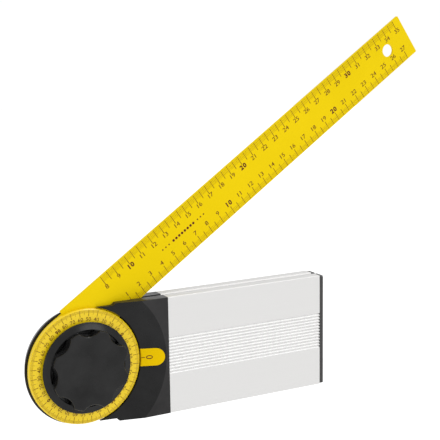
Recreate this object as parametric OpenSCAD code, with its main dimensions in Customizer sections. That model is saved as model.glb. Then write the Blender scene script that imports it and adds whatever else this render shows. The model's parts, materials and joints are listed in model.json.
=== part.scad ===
// Folding protractor square: a ruled blade that swings out of a slotted handle
// and locks at any angle with a knob over a round degree dial.
// Millimetres. +X runs along the handle, +Z is up and the knob faces -Y.
// The origin is the middle of the handle's lower working edge.

/* [Handle] */
// Overall length of the handle, round end to cap
handle_len = 212; // [200:1:260]
// Height of the handle, edge to edge
handle_h = 77.2; // [76:0.1:80]
// Thickness of the handle
handle_t = 18.4; // [18:0.1:20]
// Outer wall of the aluminium profile
profile_wall = 2.6; // [2.4:0.1:3]
// Number of grip grooves on each face
groove_count = 12; // [6:1:14]
// Distance from one grip groove to the next
groove_pitch = 2.08; // [1.8:0.02:2.2]
// Width of a grip groove at its mouth
groove_w = 1.3; // [0.8:0.1:1.6]
// Depth of a grip groove
groove_depth = 1.4; // [0.6:0.1:1.6]
// Thickness of the end cap's plate
cap_t = 2.8; // [2:0.1:4]

/* [Housing] */
// Distance from the pivot to the aluminium profile
housing_reach = 55.4; // [54:0.2:60]
// Radius of the round opening around the dial
opening_r = 38; // [37.8:0.1:38.4]
// Radius at which the dished face meets the flat face
dish_r = 53.4; // [50:0.2:54]
// Depth at the dish's inner edge, from the blade's middle plane
dish_depth = 3.4; // [3:0.1:5]
// Half height of the narrow neck beside the opening
neck_half = 37; // [36:0.1:37.5]
// Width of the pointer insert
pointer_w = 11.6; // [8:0.2:13]
// Distance from the pivot to the pointer's round end
pointer_reach = 52.5; // [50:0.5:53]

/* [Blade] */
// Angle between the blade and the handle
blade_angle = 34.55; // [0:0.05:180]
// Distance from the pivot to the blade's tip
blade_reach = 318; // [300:1:340]
// Width of the blade
blade_w = 29.8; // [27:0.1:30]
// Thickness of the blade
blade_t = 1.5; // [1:0.1:1.8]
// Radius of the hanging hole
hang_r = 4.35; // [3:0.05:6]
// Distance from the tip to the hanging hole
hang_from_tip = 19.7; // [15:0.1:40]
// Radius of the blade's round head, under the dial
head_r = 36.6; // [34:0.1:38]

/* [Dial] */
// Radius of the dial
dial_r = 37.1; // [36:0.1:37.4]
// Thickness of the dial
dial_t = 3; // [2.6:0.1:3.2]
// Bevel around the dial's edge, across its face
dial_bevel = 0.7; // [0.2:0.1:2]

/* [Knob] */
// Radius of the knob's flange at its base
flange_r = 28.5; // [27:0.1:29]
// Radius of the knob's grip at its top
grip_r = 25.6; // [24:0.1:26]
// Height of the knob above the dial
knob_h = 10.5; // [9.5:0.1:14]
// Number of finger scallops
scallop_count = 8; // [6:1:8]
// Radius of a finger scallop
scallop_r = 9.9; // [8:0.1:11]
// Depth of a finger scallop
scallop_depth = 3.6; // [2:0.1:3.6]
// Angle of the first finger scallop from the handle's axis
scallop_turn = 46; // [0:1:60]

/* [Hardware] */
// Radius of the pivot bolt
bolt_r = 4; // [3.5:0.1:4]
// Running clearance of a shaft in its bore, on the radius
run_gap = 0.07; // [0.03:0.01:0.1]

/* [Hidden] */
$fn = 96;

half_h = handle_h / 2;
half_t = handle_t / 2;
// gap that parts of one assembly keep from each other
fit_gap = 0.1;
// overrun of a cut past the face that it opens
over = 1;

// pivot, in the handle's frame
pivot_x = half_h - handle_len / 2;
pivot_z = half_h;
cap_x = handle_len - half_h - cap_t;

// blade slot: half width, and its floor above the pivot
slot_half = 1.3;
slot_floor = half_h - blade_w - 1;

// chambers of the profile
slot_wall = 1.8;
slot_lead = 0.8;
edge_break = 0.4;
cap_inset = 0.3;
chamber_top = half_h - profile_wall;
chamber_face = half_t - profile_wall;
chamber_slot = slot_half + slot_wall;
chamber_upper = slot_floor;
web_half = 1.5;
web_y = -15.5;
floor_web = 2.6;
port_r = 2.8;
port_y = [web_y, slot_floor - floor_web];
port_bore = 1.4;

// tongues of the housing, inside the profile
tongue_len = 16;
tongue_gap = 0.2;

// housing
step_x = 19.4;
step_h = half_h - neck_half;
web_x = opening_r + 1.2;
web_top = slot_floor;
back_r = 35.6;
back_rim_r = 38.2;
back_edge_t = 0.5;
head_recess_r = 10.3;
head_recess_t = 4;
housing_screw_at = [[46, -31.5], [48, -16], [48, -2]];
profile_screw_at = [[housing_reach + 8, 22], [housing_reach + 8, -27]];

// blade and dial
blade_edge = half_h;
blade_start = 9;
tip_corner = 0.7;
head_bore = 6;
dial_base = blade_t / 2;
dial_face = dial_base + dial_t;
recess_r = 13;
recess_t = 1;
rivet_ring = 18;
rivet_count = 4;
rivet_r = 1.5;
rivet_head_r = 2.6;
rivet_head_t = 0.8;

// knob
knob_base = dial_face + 0.3;
knob_top = dial_face + knob_h;
flange_flare = 0.8;
flange_top = knob_base + 2.6;
grip_base_r = grip_r - 1;
grip_base = flange_top + 0.5;
top_round = 0.9;
pocket_floor = knob_base + 1.3;
hub_face = dial_face + 0.95;
insert_af_r = 7.5;
insert_top = hub_face + 7.3;
insert_bore_top = insert_top - 0.7;
cavity_in = 10;
cavity_out = 20;
cavity_top = knob_top - 2.8;
ring_in = 22.5;
ring_out = 27;
ring_low = dial_face + 0.15;
ring_high = dial_face + 0.85;

// bolt
bolt_head_r = 9.8;
bolt_head_t = 3.6;
bolt_head_floor = half_t - head_recess_t;
neck_side = 8;
bolt_end = insert_bore_top - 1.2;
washer_low = dial_face - recess_t + fit_gap;
washer_high = washer_low + 0.8;

// colours
alu = [0.89, 0.89, 0.9];
black = [0.2, 0.2, 0.21];
dark = [0.28, 0.28, 0.3];
yellow = [0.95, 0.83, 0.05];
steel = [0.7, 0.71, 0.73];
zinc = [0.78, 0.76, 0.7];
brass = [0.8, 0.65, 0.3];
fibre = [0.55, 0.45, 0.35];

// Stands a shape drawn face-on up in the handle's frame. Face-on, X runs along
// the handle from the pivot, Y is up and Z comes out of the knob side.
module upright() {
    translate([pivot_x, 0, pivot_z]) rotate([90, 0, 0]) children();
}

// Turns a shape with the blade, about the pivot.
module with_blade() {
    upright() rotate([0, 0, blade_angle]) children();
}

// Extrudes a section, drawn as height by depth, along the handle.
module along(x0, x1) {
    translate([x0, 0, 0]) rotate([90, 0, 90]) linear_extrude(x1 - x0) children();
}

// A box given by two opposite corners.
module block(low, high) {
    translate(low) cube(high - low);
}

// A disc or drilled disc between two depths.
module disc(r, z0, z1) {
    translate([0, 0, z0]) cylinder(r = r, h = z1 - z0);
}

// One face of the profile's outline: the corners of its grip grooves in order,
// from the lower edge up when way is 1 and from the upper edge down when -1.
function groove_face(way, face) = [
    for (i = [0 : groove_count - 1])
    let (middle = way * (i - (groove_count - 1) / 2) * groove_pitch)
    for (corner = [-1, 0, 1])
    [middle + way * corner * groove_w / 2,
     corner == 0 ? face - sign(face) * groove_depth : face]
];

// outline with its four long edges broken
profile_outline = concat(
    [[-half_h, edge_break - half_t], [edge_break - half_h, -half_t]],
    groove_face(1, -half_t),
    [[half_h - edge_break, -half_t], [half_h, edge_break - half_t]],
    [[half_h, half_t - edge_break], [half_h - edge_break, half_t]],
    groove_face(-1, half_t),
    [[edge_break - half_h, half_t], [-half_h, half_t - edge_break]]);

// The dished face: everything above a shallow cone around the dial.
module dish(lift = 0) {
    slope = (half_t - dish_depth) / (dish_r - opening_r);
    inner = opening_r - 4;
    rotate_extrude() polygon([
        [0, dish_depth - 4 * slope + lift], [inner, dish_depth - 4 * slope + lift],
        [dish_r, half_t + lift], [dish_r, half_t + over + lift], [0, half_t + over + lift]]);
}

// Blade slot, from its floor to past the upper edge.
module slot_cut(x0, x1, half) {
    block([x0, slot_floor, -half], [x1, half_h + over, half]);
}

// Tongues that one half of the housing puts into the profile's chambers,
// for the front half when side is 1 and the back half when -1.
module tongues(side) {
    x0 = housing_reach - 2;
    x1 = housing_reach + tongue_len;
    spans = [
        [chamber_upper + tongue_gap, chamber_top - tongue_gap, chamber_slot + tongue_gap],
        [web_y + port_r + tongue_gap, port_y[1] - port_r - tongue_gap, fit_gap],
        [-chamber_top + tongue_gap, web_y - port_r - tongue_gap, fit_gap]];
    for (span = spans)
        mirror([0, 0, side < 0 ? 1 : 0])
            block([x0, span[0], span[2]], [x1, span[1], chamber_face - tongue_gap]);
}

module handle_profile() {
    color(alu) upright() difference() {
        union() {
            difference() {
                along(housing_reach, cap_x) polygon(profile_outline);
                slot_cut(housing_reach - over, cap_x + over, slot_half);
                for (side = [-1, 1])
                    mirror([0, 0, side < 0 ? 1 : 0])
                        block([housing_reach - over, chamber_upper, chamber_slot],
                              [cap_x + over, chamber_top, chamber_face]);
                block([housing_reach - over, web_y + web_half, -chamber_face],
                      [cap_x + over, slot_floor - floor_web, chamber_face]);
                block([housing_reach - over, -chamber_top, -chamber_face],
                      [cap_x + over, web_y - web_half, chamber_face]);
            }
            for (y = port_y)
                translate([housing_reach, y, 0]) rotate([0, 90, 0])
                    cylinder(r = port_r, h = cap_x - housing_reach);
        }
        slot_cut(housing_reach - over, cap_x + over, slot_half);
        along(housing_reach - over, cap_x + over) polygon([
            [half_h - slot_lead, -slot_half], [half_h, -slot_half - slot_lead],
            [half_h + over, 0], [half_h, slot_half + slot_lead],
            [half_h - slot_lead, slot_half]]);
        for (y = port_y)
            translate([housing_reach - over, y, 0]) rotate([0, 90, 0])
                cylinder(r = port_bore, h = cap_x - housing_reach + 2 * over);
        for (at = profile_screw_at) translate([at[0], at[1], -half_t]) {
            disc(1.7, -over, profile_wall + over);
            countersink();
        }
    }
}

// Seat of a countersunk head, opening towards -Z.
module countersink() {
    translate([0, 0, -fit_gap]) cylinder(r1 = 3.3, r2 = 1.7, h = 1.7);
}

module end_cap() {
    plug_len = 9;
    color(black) upright() difference() {
        union() {
            along(cap_x, cap_x + cap_t) cap_plate();
            for (side = [-1, 1])
                mirror([0, 0, side < 0 ? 1 : 0])
                    block([cap_x - plug_len, chamber_upper + tongue_gap, chamber_slot + tongue_gap],
                          [cap_x, chamber_top - tongue_gap, chamber_face - tongue_gap]);
            for (span = [[web_y + port_r + tongue_gap, port_y[1] - port_r - tongue_gap],
                         [-chamber_top + tongue_gap, web_y - port_r - tongue_gap]])
                block([cap_x - plug_len, span[0], -chamber_face + tongue_gap],
                      [cap_x, span[1], chamber_face - tongue_gap]);
        }
        slot_cut(cap_x - plug_len - over, cap_x + cap_t + over, slot_half);
        for (y = port_y) translate([cap_x - over, y, 0]) rotate([0, 90, 0]) {
            disc(1.7, 0, cap_t + 2 * over);
            disc(3.4, over + 1.2, cap_t + 2 * over);
        }
    }
}

// Rounded plate of the end cap, drawn as height by depth.
module cap_plate() {
    round_r = 1.2;
    plate_h = handle_h - 2 * cap_inset;
    square([plate_h, handle_t - 2 * round_r], center = true);
    square([plate_h - 2 * round_r, handle_t], center = true);
    for (y = [-1, 1], z = [-1, 1])
        translate([y * (plate_h / 2 - round_r), z * (half_t - round_r)]) circle(r = round_r);
}

module cap_screws() {
    color(steel) upright() for (y = port_y)
        translate([cap_x, y, 0]) rotate([0, 90, 0]) {
            disc(1.3, -8, 1.2);
            difference() {
                disc(3.2, 1.2, 2.6);
                cross_slot(2.6);
            }
        }
}

// Cross recess of a screw, cut down from a face at depth z.
module cross_slot(z) {
    for (turn = [0, 90]) rotate([0, 0, turn])
        block([-1.7, -0.35, z - 0.8], [1.7, 0.35, z + over]);
}

// Outline of the front housing, before the dial's opening is cut.
module front_outline() {
    polygon([
        [5, neck_half], [step_x, neck_half], [step_x + step_h, half_h], [housing_reach, half_h],
        [housing_reach, -half_h], [step_x + step_h, -half_h], [step_x, -neck_half],
        [5, -neck_half]]);
}

// Outline of the straight part of the back housing.
module back_outline() {
    start = sqrt(back_rim_r * back_rim_r - neck_half * neck_half) - 3 * fit_gap;
    root = back_r - over;
    polygon([
        [0, root], [start, neck_half], [step_x, neck_half], [step_x + step_h, half_h],
        [housing_reach, half_h], [housing_reach, -half_h], [step_x + step_h, -half_h],
        [step_x, -neck_half], [start, -neck_half], [0, -root]]);
}

// Pointer insert seen from the front, larger all round by grow.
module pointer_shape(grow = 0) {
    w = pointer_w + 2 * grow;
    middle = pointer_reach - pointer_w / 2;
    translate([opening_r - 3, -w / 2]) square([middle - opening_r + 3, w]);
    translate([middle, 0]) circle(d = w);
}

module housing_front() {
    color(black) upright() difference() {
        union() {
            difference() {
                translate([0, 0, slot_half]) linear_extrude(half_t - slot_half) front_outline();
                dish();
            }
            block([web_x, -half_h + step_h, 0], [housing_reach, web_top, slot_half]);
            tongues(1);
        }
        disc(opening_r, 0, half_t + over);
        translate([0, 0, 2]) linear_extrude(half_t) pointer_shape(fit_gap / 2);
        for (at = housing_screw_at) translate(at) disc(1.6, -over, 2 - over / 2 + 0.2);
        for (at = [housing_screw_at[0], housing_screw_at[1]])
            translate(at) disc(1.6, -over, 5);
    }
}

module housing_back() {
    color(black) upright() difference() {
        union() {
            rotate_extrude() polygon([
                [0, -half_t], [back_r, -half_t], [back_rim_r, -slot_half - back_edge_t],
                [back_rim_r, -slot_half], [0, -slot_half]]);
            translate([0, 0, -half_t]) linear_extrude(half_t - slot_half) back_outline();
            block([web_x, -half_h + step_h, -slot_half], [housing_reach, web_top, 0]);
            tongues(-1);
        }
        disc(head_recess_r, -half_t - over, -bolt_head_floor);
        block([-neck_side / 2 - fit_gap / 2, -neck_side / 2 - fit_gap / 2, -half_t],
              [neck_side / 2 + fit_gap / 2, neck_side / 2 + fit_gap / 2, over]);
        for (at = housing_screw_at) translate(at) {
            disc(1.7, -half_t - over, over);
            disc(3.3, -half_t - over, -half_t + 2.4);
        }
        for (at = profile_screw_at) translate(at) disc(1.6, -half_t, -chamber_slot - 0.5);
    }
}

module housing_screws() {
    color(steel) upright() for (i = [0 : len(housing_screw_at) - 1])
        translate(housing_screw_at[i]) mirror([0, 0, 1]) {
            disc(1.5, i == 2 ? -1.5 : -4.8, half_t - 2.4);
            difference() {
                disc(3.1, half_t - 2.4, half_t - 0.6);
                cross_slot(half_t - 0.6);
            }
        }
}

module profile_screws() {
    color(steel) upright() for (at = profile_screw_at)
        translate([at[0], at[1], -half_t]) difference() {
            union() {
                cylinder(r1 = 3.1, r2 = 1.5, h = 1.5);
                disc(1.5, 1.5, half_t - chamber_slot - 0.7);
            }
            mirror([0, 0, 1]) cross_slot(0);
        }
}

module pointer_insert() {
    color(yellow) upright() difference() {
        translate([0, 0, 2]) linear_extrude(half_t - 2) pointer_shape();
        disc(opening_r + 0.1, 0, half_t + 3);
        dish(0.15);
    }
}

module pivot_bolt() {
    color(zinc) upright() {
        dome_r = (bolt_head_r * bolt_head_r + bolt_head_t * bolt_head_t) / (2 * bolt_head_t);
        intersection() {
            translate([0, 0, dome_r - bolt_head_floor - bolt_head_t]) sphere(r = dome_r);
            disc(bolt_head_r, -bolt_head_floor - bolt_head_t - over, -bolt_head_floor);
        }
        block([-neck_side / 2, -neck_side / 2, -bolt_head_floor],
              [neck_side / 2, neck_side / 2, -slot_half - 0.3]);
        disc(bolt_r, -slot_half - 0.3, bolt_end);
    }
}

module back_friction_washer() {
    color(fibre) upright() difference() {
        disc(30, -slot_half, -blade_t / 2 - fit_gap);
        disc(6.5, -slot_half - over, 0);
    }
}

module blade() {
    strip_low = blade_edge - blade_w;
    color(yellow) with_blade() difference() {
        union() {
            disc(head_r, -blade_t / 2, blade_t / 2);
            block([0, 0, -blade_t / 2], [blade_start + over, head_r, blade_t / 2]);
            translate([0, 0, -blade_t / 2]) linear_extrude(blade_t) {
                translate([blade_start, strip_low])
                    square([blade_reach - blade_start - tip_corner, blade_w]);
                translate([blade_start, strip_low + tip_corner])
                    square([blade_reach - blade_start, blade_w - 2 * tip_corner]);
                for (y = [strip_low + tip_corner, blade_edge - tip_corner])
                    translate([blade_reach - tip_corner, y]) circle(r = tip_corner);
            }
        }
        disc(head_bore, -over, over);
        translate([blade_reach - hang_from_tip, blade_edge - blade_w / 2]) disc(hang_r, -over, over);
        rivet_places() disc(rivet_r + fit_gap / 2, -over, over);
    }
}

// Puts a shape at each rivet of the dial.
module rivet_places() {
    for (i = [0 : rivet_count - 1])
        rotate([0, 0, i * 360 / rivet_count]) translate([rivet_ring, 0]) children();
}

module dial_ring() {
    color(yellow) with_blade() difference() {
        rotate_extrude() polygon([
            [0, dial_base], [dial_r, dial_base], [dial_r, dial_face - dial_bevel],
            [dial_r - dial_bevel, dial_face], [0, dial_face]]);
        disc(head_bore, 0, dial_face + over);
        disc(recess_r, dial_face - recess_t, dial_face + over);
        rivet_places() {
            disc(rivet_r + fit_gap / 2, 0, dial_face + over);
            disc(rivet_head_r + fit_gap, dial_face - rivet_head_t - fit_gap, dial_face + over);
        }
    }
}

module pivot_bush() {
    color(brass) with_blade() difference() {
        disc(head_bore - 0.03, -blade_t / 2, dial_face - recess_t - 0.05);
        disc(bolt_r + run_gap, -blade_t, dial_face);
    }
}

module dial_rivets() {
    color(zinc) with_blade() rivet_places() {
        disc(rivet_r, -blade_t / 2, dial_face - rivet_head_t - fit_gap);
        disc(rivet_head_r, dial_face - rivet_head_t - fit_gap, dial_face - fit_gap);
    }
}

module thrust_washer() {
    color(steel) upright() difference() {
        disc(recess_r - 0.5, washer_low, washer_high);
        disc(bolt_r + 0.4, washer_low - over, washer_high + over);
    }
}

// Conical spring washer between the thrust washer and the knob's insert.
module spring_washer() {
    color(steel) upright() rotate_extrude() polygon([
        [bolt_r + 0.5, washer_high + 0.35], [9.5, washer_high + 0.05],
        [9.5, washer_high + 0.55], [bolt_r + 0.5, washer_high + 0.85]]);
}

module knob_body() {
    color(dark) upright() difference() {
        rotate_extrude() polygon(concat(
            [[0, knob_base], [flange_r, knob_base], [flange_r + flange_flare, flange_top],
             [grip_base_r, grip_base], [grip_r, knob_top - top_round]],
            [for (a = [15 : 15 : 90])
                [grip_r - top_round * (1 - cos(a)), knob_top - top_round * (1 - sin(a))]],
            [[0, knob_top]]));
        for (i = [0 : scallop_count - 1])
            rotate([0, 0, scallop_turn + i * 360 / scallop_count])
                translate([grip_r - scallop_depth + scallop_r, 0, grip_base - 0.3])
                    cylinder(r = scallop_r, h = knob_top);
        intersection() {
            disc(grip_base_r, pocket_floor, grip_base);
            for (i = [0 : scallop_count - 1])
                rotate([0, 0, scallop_turn + i * 360 / scallop_count])
                    translate([grip_r - scallop_depth + scallop_r, 0, pocket_floor - over])
                        cylinder(r = scallop_r, h = knob_top);
        }
        difference() {
            disc(cavity_out, knob_base - over, cavity_top);
            disc(cavity_in, knob_base - 2 * over, cavity_top + over);
        }
        disc(cavity_in + over, knob_base - over, hub_face);
        translate([0, 0, knob_base - over])
            cylinder(r = insert_af_r + 0.05, h = insert_top - knob_base + over + 0.05, $fn = 6);
        difference() {
            disc(ring_out + 0.05, knob_base - over, ring_high);
            disc(ring_in - 0.05, knob_base - 2 * over, ring_high + over);
        }
    }
}

module knob_insert() {
    color(steel) upright() difference() {
        translate([0, 0, hub_face]) cylinder(r = insert_af_r, h = insert_top - hub_face, $fn = 6);
        disc(bolt_r + run_gap, hub_face - over, insert_bore_top);
    }
}

module knob_friction_ring() {
    color(fibre) upright() difference() {
        disc(ring_out, ring_low, ring_high);
        disc(ring_in, ring_low - over, ring_high + over);
    }
}

handle_profile();
end_cap();
cap_screws();
housing_front();
housing_back();
housing_screws();
profile_screws();
pointer_insert();
pivot_bolt();
back_friction_washer();
blade();
dial_ring();
pivot_bush();
dial_rivets();
thrust_washer();
spring_washer();
knob_body();
knob_insert();
knob_friction_ring();
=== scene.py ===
"""Looks of a folding protractor square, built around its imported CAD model.

Metres, in the row's frame. Face-on positions are in millimetres: x along the handle from
the pivot, y up and d out of the knob side, from the middle plane of the blade.
"""

import json
import math

import bmesh
import bpy
from mathutils import Matrix, Vector


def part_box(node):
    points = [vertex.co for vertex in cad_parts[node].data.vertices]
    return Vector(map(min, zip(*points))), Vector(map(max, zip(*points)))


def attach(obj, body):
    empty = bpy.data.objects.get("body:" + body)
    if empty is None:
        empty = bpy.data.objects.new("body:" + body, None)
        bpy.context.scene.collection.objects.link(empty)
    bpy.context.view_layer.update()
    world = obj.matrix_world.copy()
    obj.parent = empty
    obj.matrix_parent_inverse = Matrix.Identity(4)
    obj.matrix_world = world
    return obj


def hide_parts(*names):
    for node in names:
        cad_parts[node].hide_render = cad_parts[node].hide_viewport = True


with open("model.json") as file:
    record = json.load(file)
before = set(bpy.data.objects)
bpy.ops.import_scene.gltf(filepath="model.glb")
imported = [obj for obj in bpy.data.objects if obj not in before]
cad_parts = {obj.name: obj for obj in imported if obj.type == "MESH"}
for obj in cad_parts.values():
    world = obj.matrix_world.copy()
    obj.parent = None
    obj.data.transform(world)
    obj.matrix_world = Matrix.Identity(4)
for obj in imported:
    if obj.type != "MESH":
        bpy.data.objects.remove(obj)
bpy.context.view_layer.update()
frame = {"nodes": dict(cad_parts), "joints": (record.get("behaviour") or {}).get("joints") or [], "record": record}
NODES = frame["nodes"]
MM = 0.001

swing = next(j for j in frame["joints"] if j["name"] == "blade_swing")
PIVOT = Vector(swing["pos_m"])
BLADE_ANGLE = -swing["range_deg"][0]
BLADE_FACE = -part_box("blade")[0].y / MM
DIAL_FACE = -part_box("dial_ring")[0].y / MM
HANDLE_FACE = -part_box("handle_profile")[0].y / MM

scene = bpy.context.scene


# ---------------------------------------------------------------- places


def handle_place(x, y, d):
    """A face-on position on the handle, in the row frame."""
    return PIVOT + Vector((x, -d, y)) * MM


def blade_place(s, t, d):
    """A face-on position on the blade: s from the pivot along it, t across it."""
    a = math.radians(BLADE_ANGLE)
    return handle_place(
        s * math.cos(a) - t * math.sin(a), s * math.sin(a) + t * math.cos(a), d
    )


# ---------------------------------------------------------------- materials


def new_material(name):
    """A material with its node tree and its main shader."""
    mat = bpy.data.materials.new(name)
    mat.use_nodes = True
    tree = mat.node_tree
    shader = tree.nodes["Principled BSDF"]
    return mat, tree, shader


def noise(tree, scale, stretch=(1, 1, 1), detail=4.0, roughness=0.55):
    """A noise field over the object's own coordinates. Returns its value socket."""
    coord = tree.nodes.new("ShaderNodeTexCoord")
    mapping = tree.nodes.new("ShaderNodeMapping")
    mapping.inputs["Scale"].default_value = stretch
    field = tree.nodes.new("ShaderNodeTexNoise")
    field.inputs["Scale"].default_value = scale
    field.inputs["Detail"].default_value = detail
    field.inputs["Roughness"].default_value = roughness
    tree.links.new(coord.outputs["Object"], mapping.inputs["Vector"])
    tree.links.new(mapping.outputs["Vector"], field.inputs["Vector"])
    return field.outputs["Fac"]


def spread(tree, value, low, high):
    """Maps the middle of a noise field to the range from low to high."""
    ramp = tree.nodes.new("ShaderNodeMapRange")
    ramp.inputs["From Min"].default_value = 0.3
    ramp.inputs["From Max"].default_value = 0.7
    ramp.inputs["To Min"].default_value = low
    ramp.inputs["To Max"].default_value = high
    tree.links.new(value, ramp.inputs["Value"])
    return ramp.outputs["Result"]


def tint(tree, shader, base, other, fac):
    """Varies the base colour between two colours by fac."""
    mix = tree.nodes.new("ShaderNodeMix")
    mix.data_type = "RGBA"
    mix.inputs["A"].default_value = (*base, 1)
    mix.inputs["B"].default_value = (*other, 1)
    tree.links.new(fac, mix.inputs["Factor"])
    tree.links.new(mix.outputs["Result"], shader.inputs["Base Color"])


def bump(tree, shader, fields):
    """Chains bumps, each given as a height socket, a depth in mm and a strength."""
    normal = None
    for height, depth, strength in fields:
        node = tree.nodes.new("ShaderNodeBump")
        node.inputs["Strength"].default_value = strength
        node.inputs["Distance"].default_value = depth * MM
        tree.links.new(height, node.inputs["Height"])
        if normal:
            tree.links.new(normal, node.inputs["Normal"])
        normal = node.outputs["Normal"]
    tree.links.new(normal, shader.inputs["Normal"])


def plastic(name, base, other, rough, level, grain=900, depth=0.012):
    """Moulded plastic: a fine spark-eroded grain over slow changes of tone."""
    mat, tree, shader = new_material(name)
    tone, sheen, waves = noise(tree, 55), noise(tree, 160), noise(tree, 60)
    fine = noise(tree, grain, detail=2)
    shader.inputs["Specular IOR Level"].default_value = level
    tint(tree, shader, base, other, spread(tree, tone, 0, 1))
    tree.links.new(spread(tree, sheen, *rough), shader.inputs["Roughness"])
    bump(tree, shader, [(fine, depth, 0.6), (waves, 0.02, 0.25)])
    return mat


def paint(name, base, other, rough, level):
    """Sprayed satin paint: faint orange peel and slow changes of tone."""
    mat, tree, shader = new_material(name)
    tone, sheen, peel = noise(tree, 14), noise(tree, 45), noise(tree, 700, detail=1)
    shader.inputs["Specular IOR Level"].default_value = level
    tint(tree, shader, base, other, spread(tree, tone, 0, 1))
    tree.links.new(spread(tree, sheen, *rough), shader.inputs["Roughness"])
    bump(tree, shader, [(peel, 0.01, 0.35)])
    return mat


def metal(name, base, other, rough, stretch, metallic=1.0):
    """Metal with tool or die lines along the axis whose stretch is small."""
    mat, tree, shader = new_material(name)
    lines = noise(tree, 1.0, stretch, detail=6, roughness=0.7)
    pits = noise(tree, 1500, detail=1)
    shader.inputs["Metallic"].default_value = metallic
    tint(tree, shader, base, other, spread(tree, lines, 0, 1))
    tree.links.new(spread(tree, lines, *rough), shader.inputs["Roughness"])
    bump(tree, shader, [(lines, 0.006, 0.5), (pits, 0.004, 0.3)])
    return mat


# Stretches of the tool lines: drawn along the handle, even, or faced across the pivot.
ALONG_HANDLE = (6, 2200, 2200)
EVEN = (900, 900, 900)
FACING = (500, 60, 500)

# Each has two base colours and a range of roughness; plastics and paints have a specular
# level after these, metals the stretch of their tool lines.
M = {
    # Painted highlight: a near-white, glowing plastic for the upward walls of the grip grooves.
    "groove": plastic(
        "groove_painted_highlight", (0.86, 0.86, 0.855), (0.90, 0.90, 0.895), (0.4, 0.5), 0.5
    ),
    "profile": metal(
        "satin_aluminium", (0.585, 0.581, 0.574), (0.61, 0.605, 0.598), (0.5, 0.6),
        ALONG_HANDLE, metallic=0.5,
    ),
    "housing": plastic(
        "black_housing", (0.010, 0.0095, 0.0097), (0.023, 0.022, 0.0222), (0.28, 0.38),
        0.22,
    ),
    # Painted shade: a darker copy of the housing plastic for the dish round the dial.
    "dish": plastic(
        "dish_painted_shade", (0.002, 0.002, 0.002), (0.009, 0.009, 0.0092), (0.24, 0.34), 0.2
    ),
    "cap": plastic(
        "black_cap", (0.014, 0.0136, 0.0133), (0.022, 0.0213, 0.0209), (0.3, 0.42), 0.5
    ),
    "knob": plastic(
        "black_knob", (0.002, 0.002, 0.002), (0.012, 0.012, 0.012), (0.14, 0.22), 0.22
    ),
    "blade": paint(
        "yellow_paint", (0.655, 0.475, 0.0), (0.695, 0.505, 0.001), (0.4, 0.52), 0.05
    ),
    "dial": paint(
        "yellow_dial", (0.705, 0.50, 0.003), (0.745, 0.53, 0.005), (0.28, 0.36), 0.36
    ),
    "pointer": paint(
        "yellow_pointer", (0.66, 0.43, 0.0), (0.70, 0.465, 0.0), (0.45, 0.55), 0.03
    ),
    "screw": metal(
        "zinc_screw", (0.55, 0.55, 0.56), (0.68, 0.68, 0.69), (0.25, 0.4), EVEN
    ),
    "bolt": metal(
        "zinc_bolt", (0.55, 0.53, 0.48), (0.66, 0.64, 0.58), (0.28, 0.42), FACING
    ),
    "rivet": metal("rivet", (0.6, 0.6, 0.62), (0.72, 0.72, 0.74), (0.3, 0.45), EVEN),
    "washer": metal("washer", (0.5, 0.5, 0.52), (0.62, 0.62, 0.64), (0.3, 0.42), FACING),
    "insert": metal("insert", (0.5, 0.5, 0.52), (0.62, 0.62, 0.64), (0.3, 0.42), FACING),
    "bush": metal("bush", (0.65, 0.48, 0.2), (0.75, 0.57, 0.26), (0.25, 0.38), FACING),
    "fibre": plastic(
        "fibre", (0.2, 0.12, 0.07), (0.3, 0.19, 0.11), (0.75, 0.9), 0.25, 400, 0.03
    ),
}

# Dark brown ink of every scale and number.
ink, ink_tree, ink_shader = new_material("scale_ink")
ink_shader.inputs["Specular IOR Level"].default_value = 0.2
tint(
    ink_tree, ink_shader, (0.072, 0.005, 0.0), (0.094, 0.008, 0.0),
    spread(ink_tree, noise(ink_tree, 400), 0, 1),
)
ink_tree.links.new(
    spread(ink_tree, noise(ink_tree, 900), 0.5, 0.7), ink_shader.inputs["Roughness"]
)

for row in frame["record"]["subparts"]:
    ob = NODES[row["node"]]
    ob.data.materials.clear()
    ob.data.materials.append(M[row["material_slot"]])


# Painted highlight: the upward walls of the grip grooves get a light colour and a glow, standing in for the light
# from above.
GROOVE_PAINTED_GLOW = 0.13
GROOVE_BAND = 15  # the grooves lie within this far of the pivot's height
GROOVE_SUNK = (0.02, 1.5)
GROOVE_ALONG, GROOVE_UP = 0.1, 0.15  # limits of the wall's normal along the handle and up
groove_shader = M["groove"].node_tree.nodes["Principled BSDF"]
groove_shader.inputs["Emission Color"].default_value = (1, 1, 1, 1)
groove_shader.inputs["Emission Strength"].default_value = GROOVE_PAINTED_GLOW
profile = NODES["handle_profile"]
profile.data.materials.append(M["groove"])
for face in profile.data.polygons:
    middle = profile.matrix_world @ face.center
    sunk = HANDLE_FACE - abs(middle.y) / MM
    in_groove = (
        abs(middle.z - PIVOT.z) < GROOVE_BAND * MM
        and GROOVE_SUNK[0] < sunk < GROOVE_SUNK[1]
    )
    if in_groove and abs(face.normal.x) < GROOVE_ALONG and face.normal.z > GROOVE_UP:
        face.material_index = 1


# ---------------------------------------------------------------- mesh helpers


def add_object(name, bm, mat, body, smooth=None):
    """Turns a bmesh into a piece that rides on a body."""
    bmesh.ops.recalc_face_normals(bm, faces=bm.faces)
    me = bpy.data.meshes.new(name)
    bm.to_mesh(me)
    bm.free()
    ob = bpy.data.objects.new(name, me)
    scene.collection.objects.link(ob)
    me.materials.append(mat)
    if smooth is not None:
        me.shade_smooth()
        me.set_sharp_from_angle(angle=math.radians(smooth))
    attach(ob, body)
    return ob


# ---------------------------------------------------------------- printing

INK = 0.03  # the ink stands this far above its face
SUNK = 0.01  # and reaches this far below it
HEAVY = 0.04  # offset of a heavy digit's outline
GLYPHS = {}


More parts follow.
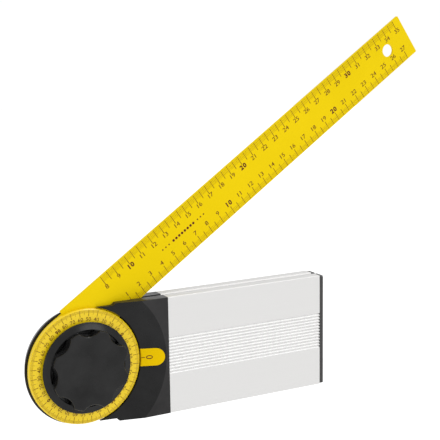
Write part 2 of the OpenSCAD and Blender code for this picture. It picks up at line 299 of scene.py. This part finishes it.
def glyph(char, heavy):
    """One digit as a flat solid, centred and 1 unit high. Returns (verts, faces)."""
    key = (char, heavy)
    if key not in GLYPHS:
        cu = bpy.data.curves.new("glyph", "FONT")
        cu.body = char
        cu.extrude = 0.5  # any height: only the sign of z is read below
        cu.offset = HEAVY if heavy else 0.0
        cu.resolution_u = 3
        ob = bpy.data.objects.new("glyph", cu)
        me = bpy.data.meshes.new_from_object(ob)
        top = max(v.co.y for v in me.vertices)
        low = min(v.co.y for v in me.vertices)
        left = min(v.co.x for v in me.vertices)
        right = max(v.co.x for v in me.vertices)
        k = 1 / (top - low)
        verts = [
            (
                (v.co.x - (left + right) / 2) * k,
                (v.co.y - (top + low) / 2) * k,
                v.co.z > 0,
            )
            for v in me.vertices
        ]
        faces = [tuple(p.vertices) for p in me.polygons]
        bpy.data.meshes.remove(me)
        bpy.data.objects.remove(ob)
        bpy.data.curves.remove(cu)
        GLYPHS[key] = (verts, faces)
    return GLYPHS[key]


class Print:
    """Thin raised ink on a face. place(u, v, d) gives a point in the row frame."""

    def __init__(self, place, face):
        self.place, self.face, self.bm = place, face, bmesh.new()

    def solid(self, verts, faces):
        """Adds a closed solid. d is measured from the face that carries the ink."""
        made = [self.bm.verts.new(self.place(u, v, self.face + d)) for u, v, d in verts]
        for f in faces:
            self.bm.faces.new([made[i] for i in f])

    def line(self, a, b, width):
        """A straight mark from a to b."""
        a, b = Vector(a), Vector(b)
        side = (b - a).normalized().orthogonal() * width / 2
        ring = [a + side, b + side, b - side, a - side]
        verts = [(p.x, p.y, d) for d in (-SUNK, INK) for p in ring]
        faces = [(0, 1, 2, 3), (7, 6, 5, 4)] + [
            (i, (i + 1) % 4, 4 + (i + 1) % 4, 4 + i) for i in range(4)
        ]
        self.solid(verts, faces)

    def dot(self, u, v, r, n=20):
        """A round dot of radius r with n sides."""
        angles = [i * math.tau / n for i in range(n)]
        ring = [(u + r * math.cos(a), v + r * math.sin(a)) for a in angles]
        verts = [(x, y, d) for d in (-SUNK, INK) for x, y in ring]
        faces = [tuple(range(n)), tuple(range(2 * n - 1, n - 1, -1))] + [
            (i, (i + 1) % n, n + (i + 1) % n, n + i) for i in range(n)
        ]
        self.solid(verts, faces)

    def number(
        self, text, u, v, height, up=(0, 1), heavy=False, pitch=0.8, squeeze=1.0
    ):
        """Digits of a given height centred on (u, v). up is where their tops point.

        pitch is their spacing as a share of the height, and squeeze scales their width.
        """
        up = Vector(up).normalized()
        right = Vector((up.y, -up.x))
        for i, char in enumerate(text):
            shift = (i - (len(text) - 1) / 2) * pitch * height
            verts, faces = glyph(char, heavy)
            placed = []
            for x, y, top in verts:
                across, along = x * height * squeeze + shift, y * height
                placed.append((
                    u + right.x * across + up.x * along,
                    v + right.y * across + up.y * along,
                    INK if top else -SUNK,
                ))
            self.solid(placed, faces)


# Scales of the blade. The upper one counts centimetres from the round end of the blade's
# head, the lower one from a point nearer the tip.
UPPER_EDGE = 38.6
LOWER_EDGE = 8.8
UPPER_ZERO = -37.9
LOWER_ZERO = UPPER_ZERO + 77.3
MARK_START = 0.35  # from the blade's edge
FINE_MARK, BROAD_MARK = 0.12, 0.36  # widths of the millimetre marks and of the others
blade_print = Print(blade_place, BLADE_FACE)


def ruler(zero, first, last, edge, inward, sizes, number_at):
    """One millimetre scale. sizes gives how far the mm, 5 mm and cm marks reach inward."""
    for mm in range(first, last + 1):
        reach, width = sizes[0], FINE_MARK
        if mm % 5 == 0:
            reach, width = sizes[1], BROAD_MARK
        if mm % 10 == 0:
            reach = sizes[2]
        s = zero + mm
        start = (s, edge + inward * MARK_START)
        blade_print.line(start, (s, edge + inward * reach), width)
        if mm % 10 == 0:
            heavy = mm % 100 == 0
            height, squeeze = (3.4, 1.05) if heavy else (2.9, 1.2)
            blade_print.number(
                str(mm // 10), s, number_at, height, heavy=heavy, squeeze=squeeze
            )


ruler(UPPER_ZERO, 80, 350, UPPER_EDGE, -1, (4.4, 6.3, 6.9), UPPER_EDGE - 8.2)
ruler(LOWER_ZERO, 5, 270, LOWER_EDGE, 1, (3.9, 5.4, 6.0), LOWER_EDGE + 8.5)

# A row of dots along the blade's middle: a run of big ones between two runs of small ones.
# Each run has its first place on the upper scale, its spacing, its count and its radius.
DOT_LINE = 23.7
for first, pitch, count, radius in (
    (122.9, 2.75, 3, 0.5),
    (153.6, 2.7, 3, 0.5),
    (132.4, 2.5, 8, 0.85),
):
    for k in range(count):
        blade_print.dot(UPPER_ZERO + first + pitch * k, DOT_LINE, radius)

# Degrees of the dial: nought along the blade, ninety across it, four times round.
DIAL_MARK_OUT = 36.5
DIAL_NUMBER_R, DIAL_NUMBER_HEIGHT = 30.7, 2.4
dial_print = Print(blade_place, DIAL_FACE)
for deg in range(360):
    a = math.radians(deg)
    out = Vector((math.cos(a), math.sin(a)))
    inner, width = 34.7, 0.13
    if deg % 5 == 0:
        inner, width = 33.6, 0.17
    if deg % 10 == 0:
        inner, width = 32.4, 0.3
    dial_print.line(out * DIAL_MARK_OUT, out * inner, width)
    if deg % 10 == 0:
        value = deg % 180
        value = value if value <= 90 else 180 - value
        dial_print.number(
            str(value), out.x * DIAL_NUMBER_R, out.y * DIAL_NUMBER_R, DIAL_NUMBER_HEIGHT,
            up=out, heavy=value in (0, 90), pitch=0.76,
        )

# The pointer's line and nought lie on its sloping face, which follows the dish.
DISH_IN, DISH_OUT, DISH_LOW = 38.0, 53.4, 3.4
POINTER_PROUD = 0.15  # the insert stands this far out of the dish
POINTER_LINE = ((38.2, 0), (40.3, 0))
NOUGHT_AT, NOUGHT_HEIGHT = 43.0, 4.1
dish_slope = (HANDLE_FACE - DISH_LOW) / (DISH_OUT - DISH_IN)


def pointer_place(x, y, d):
    """A face-on position on the pointer: d out of its sloping face."""
    r = math.hypot(x, y)
    return handle_place(
        x, y, DISH_LOW + POINTER_PROUD + (r - DISH_IN) * dish_slope + d
    )


pointer_print = Print(pointer_place, 0)
pointer_print.line(*POINTER_LINE, 0.42)
pointer_print.number("0", NOUGHT_AT, 0, NOUGHT_HEIGHT, up=(-1, 0))

for name, marks, body, slot in (
    ("blade_scales", blade_print, "blade", "blade"),
    ("dial_degrees", dial_print, "blade", "dial"),
    ("pointer_nought", pointer_print, "handle", "pointer"),
):
    add_object(name, marks.bm, ink, body)


# ---------------------------------------------------------------- knob

KNOB_BASE = DIAL_FACE + 0.3
KNOB_TOP = -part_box("knob_body")[0].y / MM
# The scallops: their count, the angle of the first, their radius, how near the axis they
# come and how softly they meet the grip.
SCALLOPS, SCALLOP_TURN, SCALLOP_R, SCALLOP_IN, SCALLOP_BLEND = 8, 46.0, 9.9, 22.0, 0.5
GRIP_R, GRIP_BASE_R, FLANGE_BASE_R, FLANGE_R = 25.6, 24.6, 28.5, 29.3
FLANGE_TOP = KNOB_BASE + 2.6
GRIP_BASE = FLANGE_TOP + 1.25
SLOPE_R, SLOPE_DROP = 26.8, 0.6  # where the grip's foot meets the flange
TOP_ROUND, FLANGE_ROUND = 0.8, 0.3
POCKET_FLOOR = 5.35
HUB_DEPTH = DIAL_FACE + 8.3  # closed end of the middle bore
TURNS = 720

# The underside from the foot's inner edge to the middle, as (radius, depth): the seat of
# the friction ring, the hollow and the hub with its bore.
RING_SEAT, HUB_FACE, HOLLOW_TOP = DIAL_FACE + 0.85, DIAL_FACE + 0.95, KNOB_TOP - 2.8
UNDERSIDE = (
    (27.05, KNOB_BASE), (27.05, RING_SEAT), (22.45, RING_SEAT), (22.45, KNOB_BASE),
    (20, KNOB_BASE), (20, HOLLOW_TOP), (10, HOLLOW_TOP),
    (10, HUB_FACE), (7.6, HUB_FACE), (7.6, HUB_DEPTH),
)


def scallop_radius(a):
    """Distance from the axis to the nearest scallop's wall at an angle, or infinity."""
    step = math.tau / SCALLOPS
    off = (a - math.radians(SCALLOP_TURN) + step / 2) % step - step / 2
    centre = SCALLOP_IN + SCALLOP_R
    inside = SCALLOP_R**2 - (centre * math.sin(off)) ** 2
    return centre * math.cos(off) - math.sqrt(inside) if inside > 0 else math.inf


def soft_min(a, b, k):
    """The smaller of two lengths, rounded over k where they meet."""
    if not math.isfinite(b):
        return a
    h = max(0.0, 1 - abs(a - b) / k)
    return min(a, b) - h * h * k / 4


def knob_rows():
    """Rows of (radius, depth) functions of the angle, from the top to the inside."""
    rows = []

    def wall(base, inset):
        """Radius of the scalloped wall at any angle."""
        return lambda a: soft_min(base, scallop_radius(a), SCALLOP_BLEND) - inset

    def pocket(a, floor, rim):
        """Depth of the floor inside a scallop, and of the rim between scallops."""
        return floor if GRIP_BASE_R - scallop_radius(a) > 0.15 else rim

    for r in (6, 12, 18, 20.5):
        rows.append((lambda a, r=r: r, lambda a: KNOB_TOP))
    for k in range(7):
        t = math.radians(15 * k)
        inset, drop = TOP_ROUND * (1 - math.sin(t)), TOP_ROUND * (1 - math.cos(t))
        rows.append((wall(GRIP_R, inset), lambda a, drop=drop: KNOB_TOP - drop))
    for k in range(1, 6):
        f = k / 6
        base = GRIP_R + (GRIP_BASE_R - GRIP_R) * f
        depth = KNOB_TOP - TOP_ROUND + (GRIP_BASE + 0.2 - KNOB_TOP + TOP_ROUND) * f
        rows.append((wall(base, 0), lambda a, depth=depth: depth))
    low, base_r = GRIP_BASE, GRIP_BASE_R
    rows += [
        (wall(base_r, 0), lambda a: pocket(a, POCKET_FLOOR + 0.4, low + 0.15)),
        (wall(base_r, -0.15), lambda a: pocket(a, POCKET_FLOOR, low)),
        (lambda a: base_r + 0.1, lambda a: pocket(a, POCKET_FLOOR, low - 0.02)),
        (lambda a: base_r + 0.22, lambda a: pocket(a, low - 0.2, low - 0.03)),
        (lambda a: base_r + 0.4, lambda a: low + 0.02),
        (lambda a: SLOPE_R, lambda a: low - SLOPE_DROP),
    ]
    for k in range(6):
        t = math.radians(18 * k)
        rows.append((
            lambda a, t=t: FLANGE_R - FLANGE_ROUND + FLANGE_ROUND * math.sin(t),
            lambda a, t=t: FLANGE_TOP - FLANGE_ROUND + FLANGE_ROUND * math.cos(t),
        ))
    rows += [
        (lambda a: FLANGE_R, lambda a: FLANGE_TOP - 0.5),
        (lambda a: FLANGE_BASE_R + 0.1, lambda a: KNOB_BASE + 0.25),
        (lambda a: FLANGE_BASE_R - 0.15, lambda a: KNOB_BASE),
    ]
    for r, d in UNDERSIDE:
        rows.append((lambda a, r=r: r, lambda a, d=d: d))
    return rows


def sweep(rows, top, bottom):
    """Closed surface of rows round the pivot, with a middle point at each end."""
    bm = bmesh.new()
    rings = []
    for radius, depth in rows:
        ring = []
        for i in range(TURNS):
            a = i * math.tau / TURNS
            r = radius(a)
            at = handle_place(r * math.cos(a), r * math.sin(a), depth(a))
            ring.append(bm.verts.new(at))
        rings.append(ring)
    for a, b in zip(rings, rings[1:]):
        for i in range(TURNS):
            j = (i + 1) % TURNS
            bm.faces.new((a[i], a[j], b[j], b[i]))
    for ring, depth in ((rings[0], top), (rings[-1], bottom)):
        middle = bm.verts.new(handle_place(0, 0, depth))
        for i in range(TURNS):
            bm.faces.new((ring[i], ring[(i + 1) % TURNS], middle))
    return bm


knob_mesh = sweep(knob_rows(), KNOB_TOP, HUB_DEPTH)
knob = add_object("knob_grip", knob_mesh, M["knob"], "knob", 32)
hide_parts("knob_body")


# ---------------------------------------------------------------- softened edges


def softened(node, name, body, slot, width, segments=3, angle=32):
    """A copy of a CAD node with its outward edges rounded, which stands for the node.

    Inward edges stay sharp, because rounding would fill the corners of the slot.
    """
    bm = bmesh.new()
    bm.from_mesh(NODES[node].data)
    bmesh.ops.remove_doubles(bm, verts=bm.verts, dist=1e-6)
    bmesh.ops.dissolve_limit(
        bm, angle_limit=math.radians(0.5), verts=bm.verts, edges=bm.edges
    )
    weight = bm.edges.layers.float.new("bevel_weight_edge")
    for edge in bm.edges:
        if edge.is_manifold and edge.calc_face_angle_signed() > math.radians(angle):
            edge[weight] = 1.0
    ob = add_object(name, bm, M[slot], body, angle)
    mod = ob.modifiers.new("edges", "BEVEL")
    mod.width = width * MM
    mod.segments = segments
    mod.limit_method = "WEIGHT"
    mod.use_clamp_overlap = True
    mod.harden_normals = False
    mod.miter_outer = "MITER_ARC"
    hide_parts(node)
    return ob


# The dished ring round the dial is the front half's only gentle slope. Its faces get a darker copy of the housing
# plastic: painted shade for how the slope takes the light.
DISH_TILT = (12, 28)
front = softened("housing_front", "front_shell", "handle", "housing", 0.12)
front.data.materials.append(M["dish"])
for face in front.data.polygons:
    toward = abs((front.matrix_world.to_3x3() @ face.normal).normalized().y)
    if DISH_TILT[0] < math.degrees(math.acos(min(1.0, toward))) < DISH_TILT[1]:
        face.material_index = 1
softened("housing_back", "back_shell", "handle", "housing", 0.15)
softened("end_cap", "cap_moulding", "handle", "cap", 0.35)
softened("pointer_insert", "pointer_tile", "handle", "pointer", 0.2)

for node in ("handle_profile", "blade", "dial_ring", "pivot_bolt", "cap_screws"):
    me = NODES[node].data
    me.shade_smooth()
    me.set_sharp_from_angle(angle=math.radians(25))


# ---------------------------------------------------------------- stage, light, camera

# Low enough for the blade to hang straight down from the pivot.
FLOOR_R, FLOOR_SIDES, FLOOR_Z = 6.0, 96, -0.3
# The glows bring the floor and the studio up to the even white of a product picture.
FLOOR_GLOW, STUDIO_GLOW = 0.74, 1.015
floor_bm = bmesh.new()
rim = []
for i in range(FLOOR_SIDES):
    a = i * math.tau / FLOOR_SIDES
    corner = (FLOOR_R * math.cos(a), FLOOR_R * math.sin(a), FLOOR_Z)
    rim.append(floor_bm.verts.new(corner))
floor_bm.faces.new(rim)
floor_me = bpy.data.meshes.new("floor")
floor_bm.to_mesh(floor_me)
floor_bm.free()
floor = bpy.data.objects.new("floor", floor_me)
scene.collection.objects.link(floor)
floor_mat, floor_tree, floor_shader = new_material("pale_floor")
floor_shader.inputs["Roughness"].default_value = 0.9
floor_shader.inputs["Specular IOR Level"].default_value = 0.1
tint(
    floor_tree, floor_shader, (0.40, 0.40, 0.40), (0.42, 0.42, 0.42),
    spread(floor_tree, noise(floor_tree, 3), 0, 1),
)
floor_shader.inputs["Emission Color"].default_value = (1, 1, 1, 1)
floor_shader.inputs["Emission Strength"].default_value = FLOOR_GLOW
floor_me.materials.append(floor_mat)

world = bpy.data.worlds.new("studio")
scene.world = world
world.use_nodes = True
studio_light = world.node_tree.nodes["Background"]
studio_light.inputs["Color"].default_value = (1, 1, 1, 1)
studio_light.inputs["Strength"].default_value = STUDIO_GLOW


def sun(name, direction, strength, spread_deg):
    """A broad far light that shines along a direction."""
    data = bpy.data.lights.new(name, "SUN")
    data.energy = strength
    data.angle = math.radians(spread_deg)
    ob = bpy.data.objects.new(name, data)
    scene.collection.objects.link(ob)
    ob.rotation_euler = Vector(direction).to_track_quat("-Z", "Y").to_euler()


sun("key_light", (-0.45, 0.6, -0.68), 0.28, 20)
sun("front_light", (-0.45, 0.82, -0.35), 0.4, 24)
sun("top_light", (-0.45, 0.16, -0.85), 0.55, 12)

# A long lens from the left and above, which looks at the knob side.
CAMERA_AT = (-257.75, 218.99, 658.97)
CAMERA_FORWARD = (0.46826, 0.86533, -0.17874)
CAMERA_RIGHT = (0.87811, -0.47823, -0.01476)
SENSOR, LENS = 36, 95.23
camera_data = bpy.data.cameras.new("camera")
camera = bpy.data.objects.new("camera", camera_data)
scene.collection.objects.link(camera)
camera_data.sensor_width = SENSOR
camera_data.lens = LENS
forward = Vector(CAMERA_FORWARD).normalized()
right = Vector(CAMERA_RIGHT)
right = (right - forward * right.dot(forward)).normalized()
up = right.cross(forward)
turn = Matrix((right, up, -forward)).transposed().to_4x4()
camera.matrix_world = Matrix.Translation(handle_place(*CAMERA_AT)) @ turn
camera_data.clip_start, camera_data.clip_end = 0.01, 50
scene.camera = camera
scene.view_settings.view_transform = "Standard"
